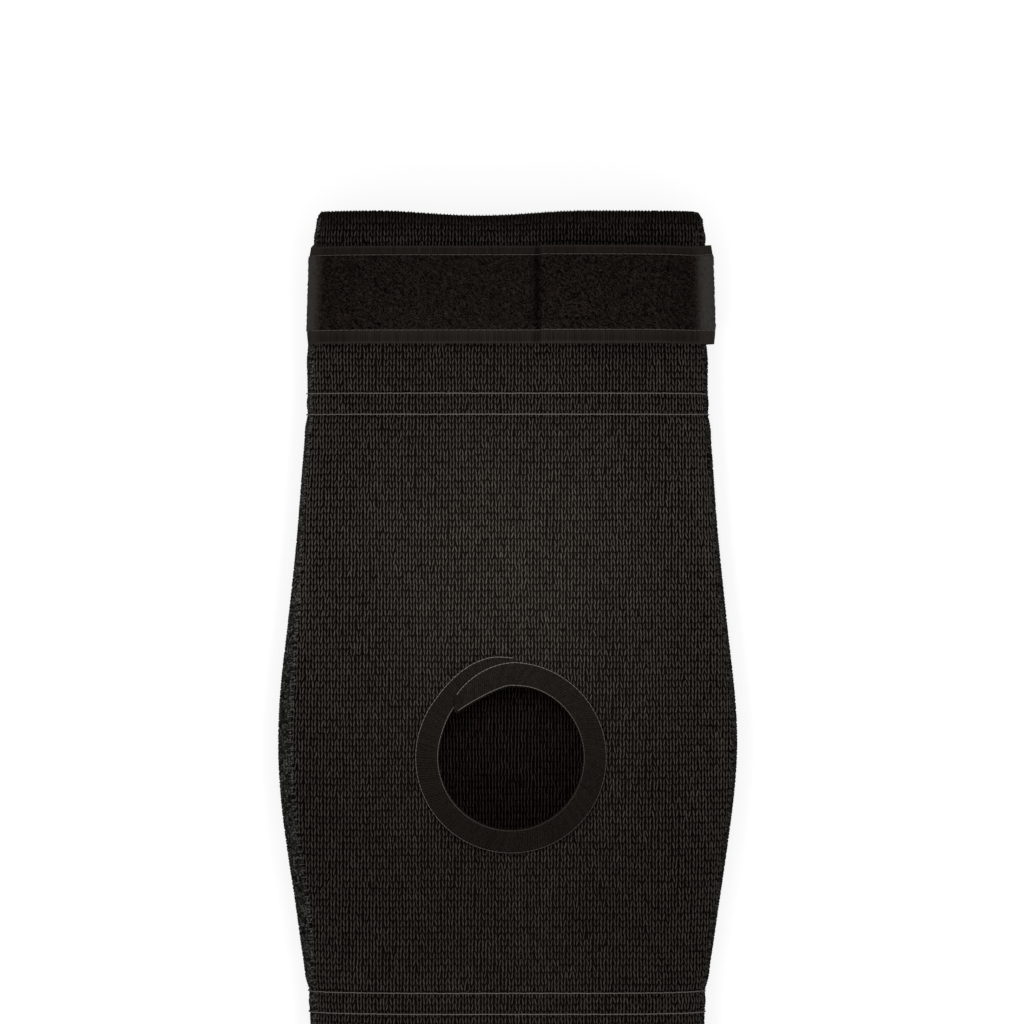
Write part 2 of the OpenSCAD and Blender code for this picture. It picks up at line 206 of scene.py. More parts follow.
def end_dip(x, y):
    """The edge of each end sags a little beside the middle line."""
    away = np.clip((x - dip_x) / dip_half, -1, 1)
    near = np.clip(1 - (end_y - np.abs(y)) / dip_reach, 0, 1)
    return -np.sign(y) * dip_depth * np.cos(math.pi / 2 * away) ** 2 * near ** 2


def wrap(flat, panel):
    """Flat cloth (across, along, through, in mm) to the sleeve, in metres."""
    s, tau, through = np.asarray(flat, float).reshape(-1, 3).T
    rise, way, across, height, halves = sections[panel]
    y, turn, side = fold_over(tau)
    half = half_width(y)
    reach = np.clip(np.interp(half, table_halves, halves) - np.abs(s), 0, None)
    u, up = look_up(across, half, reach), look_up(height, half, reach)
    nx, nz = oval * u ** (oval - 1) / half, 2 * up / rise
    size = np.hypot(nx, nz)
    out, tucked = np.cos(turn), (1 - np.cos(turn)) / 2
    through = through + relief(s, y) * np.clip(out, 0, 1)
    x = np.sign(s) * ((half - knit_t / 2 - knit_t * tucked ** 2) * u + nx / size * out * through)
    z = seam_z + way * ((rise - knit_t / 2 - knit_t * tucked) * up + nz / size * out * through)
    return np.column_stack([x, y + side * np.sin(turn) * through + end_dip(x, y), z]) * MM


print("thigh end lands at", np.round(wrap([[0, end_y - 1, knit_t / 2]], "front") / MM, 1))

# %% [markdown]
# ## Shader expressions
# A finish is a small sum: a dark yarn, a light yarn and a mask between them. Wiring each
# node by hand hides that sum, so one class wraps a socket and lets Python's operators add the
# Math nodes, and one method adds any other node.

# %% A socket that takes part in expressions
class Tone:
    def __init__(self, socket):
        self.socket = socket

    @classmethod
    def node(cls, tree, kind, settings=None, inputs=None, out=0):
        """Adds a node: its settings first, then the values or links of its sockets."""
        made = tree.nodes.new(kind)
        for name, value in (settings or {}).items():
            setattr(made, name, value)
        for key, value in (inputs or {}).items():
            if isinstance(value, Tone):
                tree.links.new(value.socket, made.inputs[key])
            else:
                made.inputs[key].default_value = value
        return cls(made.outputs[out])

    def math(self, operation, first, second):
        return Tone.node(self.socket.id_data, "ShaderNodeMath", {"operation": operation},
                         {0: first, 1: second})

    def __add__(self, other):
        return self.math("ADD", self, other)

    def __sub__(self, other):
        return self.math("SUBTRACT", self, other)

    def __rsub__(self, other):
        return self.math("SUBTRACT", other, self)

    def __mul__(self, other):
        return self.math("MULTIPLY", self, other)

    __radd__ = __add__
    __rmul__ = __mul__

    def between(self, low, high):
        """The colour from low to high at this mask."""
        return Tone.node(self.socket.id_data, "ShaderNodeMix", {"data_type": "RGBA"},
                         {0: self, 6: low, 7: high}, out=2)


def new_finish(name, **fixed):
    """A material with its fixed numbers set on the shader's own sockets."""
    material = bpy.data.materials.new(name)
    material.use_nodes = True
    shader = material.node_tree.nodes["Principled BSDF"]
    for socket, value in fixed.items():
        shader.inputs[socket.replace("_", " ")].default_value = value
    return material, material.node_tree, shader


def feed(shader, socket, tone):
    shader.id_data.links.new(tone.socket, shader.inputs[socket])


print("shader class ready")

# %% [markdown]
# ## Yarn, tape and thread
# Everything on the brace is nearly black with a warm cast, so the finishes differ in how light
# falls on them: matt fuzzy yarn, ribbed elastic, deep loop pile that swallows light, and a
# smoother greyish sewing thread. A picture of cloth would tile and blur. Instead each finish
# has a mask that mixes a value stored on the mesh (one value per stitch or rib) with noise at
# the scale of fibres. Where a sheen tone is given, a mask above 1 goes on towards it: the straps
# use this for a painted sheen where they turn round the sides.

# %% How a cloth finish is made
patch_scale, patch_share = 38.0, 0.1
rough_spread, fuzz_depth = 0.2, 0.0002


def cloth_finish(name, dark, light, rough, fibre, fleck, bump, sheen_tone=None):
    """Cloth whose lightness follows the mesh's shade value, fibres and slow dusty patches."""
    material, tree, shader = new_finish(name, Specular_IOR_Level=0.04)
    place = Tone.node(tree, "ShaderNodeTexCoord", out="Object")
    shade = Tone.node(tree, "ShaderNodeAttribute", {"attribute_name": "shade"}, out="Fac")
    fibres = Tone.node(tree, "ShaderNodeTexNoise", None,
                       {"Vector": place, "Scale": fibre, "Detail": 3.0, "Roughness": 0.6}, out="Fac")
    patches = Tone.node(tree, "ShaderNodeTexNoise", None,
                        {"Vector": place, "Scale": patch_scale, "Detail": 2.0}, out="Fac")
    strength = (2 - shade) * fleck if sheen_tone else fleck
    mask = shade + (fibres - 0.5) * strength + (patches - 0.5) * patch_share
    colour = mask.between((*dark, 1), (*light, 1))
    if sheen_tone:
        colour = (mask - 1).between(colour, (*sheen_tone, 1))
    fuzz = Tone.node(tree, "ShaderNodeBump", None,
                     {"Strength": bump, "Distance": fuzz_depth, "Height": fibres}, out="Normal")
    feed(shader, "Base Color", colour)
    feed(shader, "Roughness", fibres * rough_spread + (rough - rough_spread / 2))
    feed(shader, "Normal", fuzz)
    return material


print("cloth finish ready")

# %% Knit and seams
knit_yarn = cloth_finish("knit_yarn", (0.022, 0.018, 0.0148), (0.178, 0.1515, 0.129),
                         rough=0.9, fibre=1700, fleck=0.52, bump=0.5)
inside_yarn = cloth_finish("inside_yarn", (0.009, 0.0062, 0.0055), (0.1, 0.07, 0.064),
                           rough=0.95, fibre=2600, fleck=0.4, bump=0.5)
knit_ground = cloth_finish("knit_ground", (0.0006, 0.0004, 0.0003), (0.026, 0.0191, 0.0146),
                           rough=0.95, fibre=1100, fleck=1.2, bump=0.6)
seam_yarn = cloth_finish("seam_yarn", (0.004, 0.0038, 0.0034), (0.17, 0.167, 0.153),
                         rough=0.85, fibre=1500, fleck=0.3, bump=0.5)
sewing_thread = cloth_finish("sewing_thread", (0.07, 0.062, 0.055), (0.34, 0.31, 0.28),
                             rough=0.6, fibre=3000, fleck=0.4, bump=0.3)
print("finishes:", len(bpy.data.materials))

# %% Tape, straps and hooks
# Pale grey that the pile is painted where the strap turns round the sides: a painted sheen.
sheen_grey = (0.105, 0.104, 0.097)
tape_weave = cloth_finish("tape_weave", (0.003, 0.0024, 0.0019), (0.034, 0.0267, 0.0214),
                          rough=0.85, fibre=1500, fleck=1.3, bump=0.5)
elastic_weave = cloth_finish("elastic_weave", (0.008, 0.0067, 0.0056), (0.055, 0.044, 0.0368),
                             rough=0.85, fibre=2200, fleck=0.4, bump=0.4)
pile_felt = cloth_finish("pile_felt", (0.0012, 0.0009, 0.0007), (0.05, 0.0365, 0.0298),
                         rough=0.9, fibre=2100, fleck=2.6, bump=0.8, sheen_tone=sheen_grey)
loop_yarn = cloth_finish("loop_yarn", (0.002, 0.0015, 0.0012), (0.112, 0.0845, 0.071),
                         rough=0.85, fibre=2600, fleck=0.3, bump=0.4, sheen_tone=sheen_grey)
hook_nylon = cloth_finish("hook_nylon", (0.004, 0.004, 0.004), (0.012, 0.012, 0.012),
                          rough=0.4, fibre=900, fleck=0.5, bump=0.1)
print("finishes:", len(bpy.data.materials))

# %% [markdown]
# ## Making pieces
# A finished piece keeps its place in its mesh, on an object at the origin. Small shapes that
# come by the thousand, such as knit stitches or pile loops, are made once and multiplied by
# an Array modifier; the copies then move to their places as rows of one table. That is far
# quicker than placing them one by one.

# %% A piece and its points
def new_piece(name, mesh, finish, shade):
    mesh.name = name
    mesh.materials.clear()
    mesh.materials.append(finish)
    value = mesh.attributes.new("shade", "FLOAT", "POINT")
    value.data.foreach_set("value", np.broadcast_to(shade, len(mesh.vertices)).astype(np.float32))
    mesh.polygons.foreach_set("use_smooth", [True] * len(mesh.polygons))
    piece = bpy.data.objects.new(name, mesh)
    bpy.context.scene.collection.objects.link(piece)
    return piece


def spots(mesh):
    """The places of a mesh's points, as rows of a table."""
    found = np.empty(len(mesh.vertices) * 3, np.float32)
    mesh.vertices.foreach_get("co", found)
    return found.reshape(-1, 3).astype(float)


def put(mesh, places):
    """Moves a mesh to its places; a negative volume means that its faces turned inwards."""
    mesh.vertices.foreach_set("co", np.asarray(places, np.float32).ravel())
    mesh.calc_loop_triangles()
    corners = np.empty(len(mesh.loop_triangles) * 3, np.int32)
    mesh.loop_triangles.foreach_get("vertices", corners)
    a, b, c = (spots(mesh)[corners] - spots(mesh).mean(axis=0)).reshape(-1, 3, 3).transpose(1, 0, 2)
    if (a * np.cross(b, c)).sum() < 0:
        mesh.flip_normals()
    mesh.update()


def settle(piece, body, slot, *nodes):
    """Fixes a piece to a body and hides the CAD nodes that it stands for; the slot is not used."""
    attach(piece, body)
    if nodes:
        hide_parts(*nodes)
    print(piece.name, len(piece.data.polygons), "faces")
    return piece


print("piece helpers ready")

# %% Meshes and copies
def to_mesh(bm):
    mesh = bpy.data.meshes.new("made")
    bm.to_mesh(mesh)
    bm.free()
    return mesh


def as_shown(data, *arrays):
    """The mesh that an object with this data and these Array counts shows."""
    carrier = bpy.data.objects.new("carrier", data)
    bpy.context.scene.collection.objects.link(carrier)
    for count in arrays:
        rows = carrier.modifiers.new("rows", "ARRAY")
        rows.count = count
        rows.use_relative_offset = False
    mesh = bpy.data.meshes.new_from_object(carrier.evaluated_get(bpy.context.evaluated_depsgraph_get()))
    bpy.data.objects.remove(carrier)
    return mesh


def copies(bm, count):
    """The shape in bm, count times over in one mesh, and its number of points."""
    one = to_mesh(bm)
    return as_shown(one, count), len(one.vertices)


print("copies ready")

# %% Slabs and threads
def slab(length_cuts, width_cuts, low, high):
    """A flat closed slab from -1 to 1 both ways, between two heights."""
    bm = bmesh.new()
    bmesh.ops.create_grid(bm, x_segments=width_cuts, y_segments=length_cuts, size=1.0)
    top = bmesh.ops.extrude_face_region(bm, geom=bm.faces[:])["geom"]
    lifted = [v for v in top if isinstance(v, bmesh.types.BMVert)]
    for v in bm.verts:
        v.co.z = low
    for v in lifted:
        v.co.z = high
    bmesh.ops.recalc_face_normals(bm, faces=bm.faces[:])
    return to_mesh(bm)


def sew(name, paths, radius, finish, shade, sides=1):
    """Threads as thin tubes along rows of points, joined in one mesh."""
    curve = bpy.data.curves.new(name, "CURVE")
    curve.dimensions = "3D"
    curve.bevel_depth = radius * MM
    curve.bevel_resolution = sides
    curve.use_fill_caps = True
    for path in paths:
        spline = curve.splines.new("POLY")
        spline.points.add(len(path) - 1)
        weighted = np.column_stack([path, np.ones(len(path))])
        spline.points.foreach_set("co", weighted.astype(np.float32).ravel())
    mesh = as_shown(curve)
    bpy.data.curves.remove(curve)
    return new_piece(name, mesh, finish, shade)


print("slabs and threads ready")

# %% [markdown]
# ## Panels
# Each panel is one sheet of knit with deep hems turned in at both ends. A flat slab stands
# for the body of the cloth, a little thinner than the knit, because the face stitches come
# on top of it. A cloth simulation would only blur its known section, so the wrap carries it
# along the front, round the folded ends and back inside.

# %% The two panels
hole_x, hole_y, hole_r = 1.4, -21.0, 28.0
hole_cut = hole_r + 2.5
face_yarn, side_inset = 0.9, 0.4
inside_hem = hem_depth - knit_t
cloth_half = fold_y + math.pi * knit_t / 2 + inside_hem
shaded_under_hole = 46
tone_outside, tone_inside = 0.3, 0.9


def cut_hole(mesh, gone):
    """Deletes the marked points and joins the two faces of the slab round the rim."""
    bm = bmesh.new()
    bm.from_mesh(mesh)
    bmesh.ops.delete(bm, geom=[v for v, g in zip(bm.verts, gone) if g], context="VERTS")
    bmesh.ops.bridge_loops(bm, edges=[e for e in bm.edges if e.is_boundary])
    bmesh.ops.recalc_face_normals(bm, faces=bm.faces[:])
    bm.to_mesh(mesh)
    bm.free()


def panel_slab(panel):
    mesh = slab(270, 60, -knit_t / 2, knit_t / 2 - face_yarn)
    flat = spots(mesh)
    flat[:, 1] *= cloth_half
    y = fold_over(flat[:, 1])[0]
    flat[:, 0] = np.sin(flat[:, 0] * math.pi / 2) * (panel_half(y, panel) - side_inset)
    fuller = 0.8 * smooth((np.abs(flat[:, 1]) - fold_y + 2.5) / 2)
    flat[:, 2] += np.where(flat[:, 2] > 0, fuller, 0)
    from_hole = np.hypot(flat[:, 0] - hole_x, flat[:, 1] - hole_y)
    if panel == "front":
        gone = from_hole < hole_cut
        cut_hole(mesh, gone)
        flat, from_hole = flat[~gone], from_hole[~gone]
    put(mesh, wrap(flat, panel))
    # Within this distance of the hole the inner face is painted black: painted shade inside the sleeve, seen
    # through the kneecap hole.
    lining = np.where(from_hole < shaded_under_hole, 0.0, tone_inside)
    return new_piece(panel + "_knit", mesh, knit_ground, np.where(flat[:, 2] > 0, tone_outside, lining))


def seated(panel, *nodes):
    """A panel in its place, and the size and area that it was cut to."""
    piece = settle(panel_slab(panel), "sleeve", "knit", *nodes)
    steps = np.linspace(-cloth_half, cloth_half, 400)
    widths = 2 * panel_half(fold_over(steps)[0], panel)
    hole_area = math.pi * hole_cut ** 2 if panel == "front" else 0
    area = float(widths.mean()) * 2 * cloth_half - hole_area
    return piece, float(widths.max()) * MM, 2 * cloth_half * MM, area * MM * MM


front_knit, *front_cut = seated("front", "front_panel")
back_knit, *back_cut = seated("back", "back_panel")

# %% [markdown]
# ## Knit stitches
# Plain knit shows columns of small V shapes, each V two legs of one loop. In the photograph
# they are large enough to see one by one, and a bump pattern would go flat from the side, so
# they are real geometry: a leg is a stretched twenty-sided ball, leaned over and paired. Some
# nine thousand Vs cover a panel. Those that a sewn-down strap hides for good are left out, and
# strands of yarn run on over the folded ends.

# %% One stitch
wale, course = 2.6, 2.52
face_leg = {"wide": 0.34, "long": 1.7, "deep": 0.5, "lean": 9, "tilt": -8}
inside_leg = {"wide": 0.28, "long": 1.75, "deep": 0.4, "lean": 2, "tilt": 3}


def stitch(wide, long, deep, lean, tilt):
    """Two legs, a quarter of a column to each side of the middle."""
    bm = bmesh.new()
    for side in (-1, 1):
        place = Matrix.Translation((side * wale / 4, 0, 0))
        leaned = Matrix.Rotation(-side * math.radians(lean), 4, "Z")
        tilted = Matrix.Rotation(math.radians(tilt), 4, "X")
        stretched = Matrix.Diagonal((wide, long, deep, 1))
        pole_along = Matrix.Rotation(math.pi / 2, 4, "X")
        bmesh.ops.create_icosphere(bm, subdivisions=1, radius=1.0,
                                   matrix=place @ leaned @ tilted @ stretched @ pole_along)
    return bm


print("a stitch is", wale, "by", course, "mm")

# %% Places of the stitches
columns_half = 36
bare_fold = 2.8
hidden_half, hidden_to = 15.5, 42


def seam_front(side, y):
    """How far a seam's cover reaches to the front; the left one wanders forwards by the knee."""
    y = np.asarray(y, float)
    wander = 3.5 * smooth((75 - y) / 90) * smooth((y + 130) / 50)
    return np.where(np.asarray(side) < 0, 3.7 + wander, 3.1)


def stitch_places(panel, low, high, reach):
    """Along and across for each stitch, its place along the leg and its distance from the hole."""
    rows = np.arange(math.ceil(low / course), math.ceil(high / course)) * course
    columns = (np.arange(-columns_half, columns_half) + 0.5) * wale
    tau, s = (grid.ravel() for grid in np.meshgrid(rows, columns, indexing="ij"))
    y = fold_over(tau)[0]
    margin = seam_front(s, y) - 1.3 if panel == "front" else np.where(s < 0, 3.0, 1.6)
    keep = (np.abs(s) < panel_half(y, panel) - margin) & (np.abs(np.abs(tau) - fold_y - 1.5) > bare_fold)
    under_strap = np.abs(np.abs(tau) - (strap_low + strap_high) / 2) < hidden_half
    from_hole = np.hypot(s - hole_x, y - hole_y)
    if panel == "front":
        under_strap &= s < hidden_to
        keep &= (from_hole > hole_r + 5.5) | (np.abs(tau - y) > 1)
    keep &= ~under_strap
    if reach:
        keep &= from_hole < reach
    return tau[keep], s[keep], y[keep], from_hole[keep]


print("columns of stitches:", 2 * columns_half)

# %% Rows of stitches
dice = np.random.default_rng(11)
leg_lean, leg_size = 0.06, 0.06
off_across, off_along, off_height = 0.1, 0.12, 0.05
sunk_outside, sunk_inside = 0.4, 0.1
# Painted shade: how much darker the legs are on the cuff, below the knee and at the folds.
knit_tone, cuff_shade, shin_shade, fold_shade = 0.365, 0.14, 0.08, 0.5


def stitch_rows(name, panel, low, high, reach=None, inside=False):
    tau, s, y, from_hole = stitch_places(panel, low, high, reach)
    count = len(s)
    leg = inside_leg if inside else face_leg
    mesh, corners = copies(stitch(**leg), count)
    flat = spots(mesh).reshape(count, corners, 3)
    on_leg = flat[:, :, 1] / leg["long"]
    flat[:, :, 0] += flat[:, :, 1] * dice.normal(0, leg_lean, (count, 1))
    flat[:, :, :2] *= dice.normal(1, leg_size, (count, 1, 2))
    press = 1 - 0.55 * smooth((strap_high - np.abs(y)) / 3) * smooth((np.abs(y) - strap_low) / 3)
    if panel == "front" and not inside:
        press = press * (0.35 + 0.65 * smooth((from_hole - hole_r - 9) / 3))
    across = s + 0.22 * np.sin(tau / 19 + s / 7) + dice.normal(0, off_across, count)
    along = tau + 0.2 * np.sin(s / 9 + tau / 37) + dice.normal(0, off_along, count)
    flat[:, :, :2] += np.column_stack([across, along])[:, None]
    height = (flat[:, :, 2] + dice.normal(0, off_height, count)[:, None]) * press[:, None]
    flat[:, :, 2] = -knit_t / 2 - sunk_inside - height if inside else knit_t / 2 - sunk_outside + height
    put(mesh, wrap(flat, panel))
    # Tones: a painted highlight makes a leg lightest by its middle, and painted shade darkens the legs on
    # the cuff, below the knee and at the folds.
    cuff_shaded = smooth((np.abs(y) - strap_high) / 4)
    shin_shaded = np.zeros(count) if inside else smooth((75 - y) / 70)
    fold_shaded = smooth((np.abs(tau) - fold_y + 7) / 6)
    tone = (knit_tone - cuff_shade * cuff_shaded - shin_shade * shin_shaded)[:, None]
    legs = dice.normal(tone, 0.08 if inside else 0.07, (count, 2)) * (1 - fold_shade * fold_shaded[:, None])
    leg_highlight = 0 if inside else 0.1 - 0.12 * on_leg - 0.17 * on_leg ** 2
    shade = np.clip(np.repeat(legs, corners // 2, axis=1) + leg_highlight, 0, 1).ravel()
    return settle(new_piece(name, mesh, inside_yarn if inside else knit_yarn, shade), "sleeve", "knit")


print("thickness of the knit", knit_t, "mm")

# %% All the stitches
def fold_yarn(name, panel, way):
    """Legs of yarn that run on over a folded end, where single stitches are too stiff to bend."""
    tau = way * (fold_y + np.linspace(-2.6, 5.4, 10))
    reach = float(panel_half(way * (end_y - 2), panel)) - 2.5
    paths = []
    for s in np.arange(wale / 4 - columns_half * wale, columns_half * wale, wale / 2):
        if abs(s) < reach:
            across = s + dice.normal(0, 0.12) + 0.1 * np.sin(tau * 2 + s)
            flat = np.column_stack([across, tau, np.full(len(tau), knit_t / 2 - 0.05)])
            paths.append(wrap(flat, panel))
    # The yarn over the fold has a low tone: painted shade along the folded end.
    return settle(sew(name, paths, 0.25, knit_yarn, 0.05), "sleeve", "knit")


thirds = {"calf": (-203, -70), "knee": (-70, 62), "thigh": (62, 203)}
stitched = {panel: [stitch_rows(f"{panel}_stitches_{part}", panel, *span) for part, span in thirds.items()]
            for panel in ("front", "back")}
for panel in stitched:
    for end, way in (("calf", -1), ("thigh", 1)):
        stitched[panel].append(fold_yarn(f"{panel}_fold_{end}", panel, way))
stitched["back"].append(stitch_rows("back_stitches_inside", "back", -66, 24, reach=43, inside=True))

# %% The cloth that the panels were cut from
for panel, piece, cut in (("front", front_knit, front_cut), ("back", back_knit, back_cut)):
    print(panel, "panel cut", [round(size, 3) for size in cut[:2]], "m")

# %% [markdown]
# ## Side seams
# The panels meet edge to edge under a cover stitch: threads that cross the join from front to
# back, with a ladder of needle stitches along both edges. One bumpy band would look like cord,
# so on a thin dark band lie rows of small slanted loops of mixed tones, which give the mottled
# look, and the rungs of the ladders are short threads on top. The left cover is the wider and
# lighter one, and wanders towards the front by the knee.

# %% Places round a seam
def seam_point(side, reach, y, lift):
    """Distance round the side from the seam line (front is positive) to a place on the sleeve."""
    made = np.empty((len(y), 3))
    for panel, here in (("front", reach >= 0), ("back", reach < 0)):
        s = side * (panel_half(y[here], panel) - np.abs(reach[here]))
        made[here] = wrap(np.column_stack([s, y[here], knit_t / 2 + lift[here]]), panel)
    return made


print("seam height", np.round(seam_point(1, np.zeros(1), np.zeros(1), np.zeros(1))[0, 2] / MM, 1), "mm")

# %% Band and loops of a seam
cover_back, loops_back = 3.6, 3.2
loop_size, loop_slant, slant_spread = (0.36, 0.75, 0.34, 1), 38, 14


def seam_cover(name, side, node):
    """A thin band round the side, from its back edge to its front edge."""
    band = slab(380, 9, -0.3, 0.2)
    flat = spots(band)
    y = flat[:, 1] * (fold_y + 1)
    front = seam_front(side, y)
    reach = (front - cover_back) / 2 + (front + cover_back) / 2 * flat[:, 0]
    put(band, seam_point(side, reach, y, flat[:, 2]))
    settle(new_piece(name, band, seam_yarn, 0.12), "sleeve", "seam_thread", node)


def seam_loops(name, side, rows, tone, spread, node):
    """Loops of the cover stitch, slanted to and fro, row by row."""
    along, share = np.meshgrid(np.arange(-fold_y, fold_y, 1.0), np.linspace(0, 1, rows), indexing="ij")
    count = along.size
    reach = share * (seam_front(side, along) + loops_back) - loops_back
    bm = bmesh.new()
    bmesh.ops.create_icosphere(bm, subdivisions=1, radius=1.0, matrix=Matrix.Diagonal(loop_size))
    mesh, corners = copies(bm, count)
    x, y, z = spots(mesh).reshape(count, corners, 3).transpose(2, 0, 1)
    to_and_fro = np.where(np.arange(count) % 2 == 0, loop_slant, -loop_slant)
    slant = np.radians(to_and_fro + dice.normal(0, slant_spread, count))[:, None]
    across = reach.reshape(-1, 1) + x * np.cos(slant) - y * np.sin(slant)
    down = along.reshape(-1, 1) + x * np.sin(slant) + y * np.cos(slant)
    wander = dice.normal(0, 0.2, (2, count, 1))
    across, down = across + wander[0] + 0.4 * np.sin(down / 5) * (across > 2), down + wander[1]
    put(mesh, seam_point(side, across.ravel(), down.ravel(), 0.2 + z.ravel()))
    shade = np.repeat(np.clip(dice.normal(tone, spread, count), 0, 1), corners)
    settle(new_piece(name, mesh, seam_yarn, shade), "sleeve", "seam_thread", node)


print("a seam cover reaches", cover_back, "mm to the back")

# %% Ladders, and both seams
rung_lift = [-0.2, 0.52, 0.62, 0.52, -0.2]


def seam_ladder(name, side, inner, outer, radius, shade, on_front=True):
    """Rungs across the cover's edge, one to a course of the knit."""
    rungs = np.arange(-end_y + 2.6, end_y - 2.6, course)
    y = (rungs[:, None] + np.linspace(0, 0.35, len(rung_lift))).ravel()
    across = np.tile(np.linspace(inner, outer, len(rung_lift)), len(rungs))
    if on_front:
        front = seam_front(side, y)
        across = front + across * front / front.min()
    places = seam_point(side, across, y, np.tile(rung_lift, len(rungs)))
    settle(sew(name, places.reshape(len(rungs), -1, 3), radius, sewing_thread, shade), "sleeve", "thread")


for name, side, rows, tone, spread in (("left", -1, 10, 0.38, 0.3), ("right", 1, 8, 0.18, 0.2)):
    seam_cover(name + "_seam_cover", side, name + "_side_seam")
    seam_loops(name + "_seam_loops", side, rows, tone, spread, name + "_side_seam")
    seam_ladder(name + "_seam_ladder_back", side, -2.4, -3.8, radius=0.2, shade=0.3, on_front=False)
seam_ladder("left_seam_ladder", -1, -0.7, 0.4, radius=0.16, shade=0.34)
seam_ladder("right_seam_ladder", 1, -0.3, 0.4, radius=0.15, shade=0.1)

# %% [markdown]
# ## Hem rows
# A twin needle sews the turned-in hem down with two rows. A drawn line would lack the breaks.
# Each visible dash is one stitch that dives into the knit at both ends, so each is a short
# arched tube in the groove.

# %% Hem rows
hem_pitch = 2.6


def dashes(start, stop, pitch, fill, high=0.26):
    """Dashes along a line: five places each, and their heights."""
    starts = np.arange(start, stop - pitch, pitch)
    along = starts[:, None] + pitch * fill * np.array([0.0, 0.12, 0.5, 0.88, 1.0])
    return along, np.tile([-0.25, high * 0.7, high, high * 0.7, -0.25], (len(starts), 1))


def hem_stitching(name, way, node):
    paths = []
    for row in hem_rows:
        for panel in ("front", "back"):
            span = float(panel_half(way * row, panel)) - 0.3
            along, lift = dashes(-span, span, hem_pitch, fill=0.93)
            over_seam = smooth((np.abs(along) - span + np.where(along < 0, 5, 3.6)) / 1.5)
            y = way * row + dice.normal(0, 0.05, along.shape)
            flat = np.stack([along, y, knit_t / 2 + lift + 0.5 * over_seam + 0.2], axis=-1)
            paths.extend(wrap(flat, panel).reshape(flat.shape))
    settle(sew(name, paths, 0.2, sewing_thread, 0.6), "sleeve", "thread", node)


hem_stitching("thigh_hem_rows", 1, "thigh_hem_stitching")
hem_stitching("calf_hem_rows", -1, "calf_hem_stitching")

# %% [markdown]
# ## Kneecap binding
# A ribbed tape is folded over the hole's edge and runs a little more than once round: its
# lower end strays outwards and its upper end tapers and laps over it at eleven o'clock. A
# turned ring would have no ends. One long strip follows the path instead, so the lap is a real
# one, and the ribs across the tape are in the mesh.

# %% Path of the tape
tape_t, front_leaf, back_leaf = 0.8, 9.4, 8.4
leaf_top, leaf_low, roll = 22.83, 18.9, 1.2
fold_half, fold_r = (leaf_top - leaf_low) / 2, hole_r + roll
# Angles round the hole in degrees; the tape goes on past a full turn.
tape_start, tape_stop, end_slant = 87.0, 493, 8
stray_to, lap_from, taper_from, bulge_from = 102, 428, 447, 452


def tape_place(f, v, h):
    """f runs 0 to 1 along the tape; v 0 to 1 over the front leaf, to 2 round the edge, to 3 inside."""
    stop = tape_stop + end_slant * np.clip(v, 0, 1)
    a = tape_start + f * (stop - tape_start)
    lapped = smooth((a - lap_from) / 22)
    taper = np.clip((a - taper_from) / 46, 0, 1) ** 1.4
    stray = 2.7 * (1 - smooth((a - stray_to) / 42)) - smooth((stray_to - a) / 15)
    bulge = np.sin(math.pi * np.clip((a - bulge_from) / 53, 0, 1))
    inner = fold_r + 1.3 * (1 - smooth((a - 130) / 35)) - 1.8 * bulge
    outer = hole_r + front_leaf + stray - 5.2 * taper
    front, edge, back = np.clip(v, 0, 1), np.clip(v - 1, 0, 1) * math.pi, np.clip(v - 2, 0, 1)
    thick = lapped * tape_t + h
    r = outer + (inner - outer) * front - (roll + thick) * np.sin(edge)
    r = r + (hole_r + back_leaf - inner) * back
    z = (leaf_top + leaf_low) / 2 + (fold_half + thick) * np.cos(edge)
    z = z + 0.1 * stray * (1 - front) - 0.12 * (1 - front) ** 4
    turn = np.radians(a)
    return np.stack([hole_x + r * np.cos(turn), hole_y + r * np.sin(turn), z], axis=-1) * MM


print("tape from", tape_start, "to", tape_stop + end_slant, "degrees")

# %% Binding tape
rib_count = 236
tape_mesh = slab(rib_count * 4, 23, -tape_t, 0.0)
flat = spots(tape_mesh)
f, v = (flat[:, 1] + 1) / 2, (flat[:, 0] + 1) * 1.5
ribs = np.sin(f * rib_count * 2 * math.pi)
edge_cord = bell(v, 0, 0.06) + bell(v, 1.1, 0.08)
height = flat[:, 2] + np.where(flat[:, 2] > -0.1, 0.05 * ribs + 0.1 * edge_cord, 0)
put(tape_mesh, tape_place(f, v, height))
rib_tone = dice.normal(0, 0.04, rib_count + 1)[(f * rib_count).astype(int)]
tape_shade = np.clip(0.4 + 0.2 * ribs + rib_tone, 0, 1)
tape = new_piece("kneecap_tape", tape_mesh, tape_weave, tape_shade)
settle(tape, "sleeve", "binding_tape", "kneecap_binding")

# %% [markdown]
# ## Stitching of the binding
# One row runs along the outer edge of the tape and one along the fold, in dashes like the hem
# rows. In the photograph the thread is lightest towards the upper left, and the row by the fold
# is the darker one, so its tone follows the turn round the hole instead of being one value; the
# lighter upper left is painted light.

# %% Stitching along the tape
outer_row, fold_row, painted_light_turn = 0.03, 1.14, 2.2
tape_rows = []
for v_row in (outer_row, fold_row):
    along, lift = dashes(0.004, 0.998, 0.0066, fill=0.95, high=0.2)
    tape_rows.extend(tape_place(along, np.full(along.shape, v_row), lift))
tape_thread = sew("kneecap_tape_rows", tape_rows, 0.13, sewing_thread, 0.5)
x, y, z = (spots(tape_thread.data) / MM - (hole_x, hole_y, 0)).T
row_tone = np.where(np.hypot(x, y) < hole_r + 4, 0.3, 0.42)
# The tone rises towards the upper left: painted light.
tones = np.clip(row_tone + 0.28 * np.cos(np.arctan2(y, x) - painted_light_turn), 0, 1)
tape_thread.data.attributes["shade"].data.foreach_set("value", tones.astype(np.float32))
settle(tape_thread, "sleeve", "thread", "kneecap_binding_stitching")
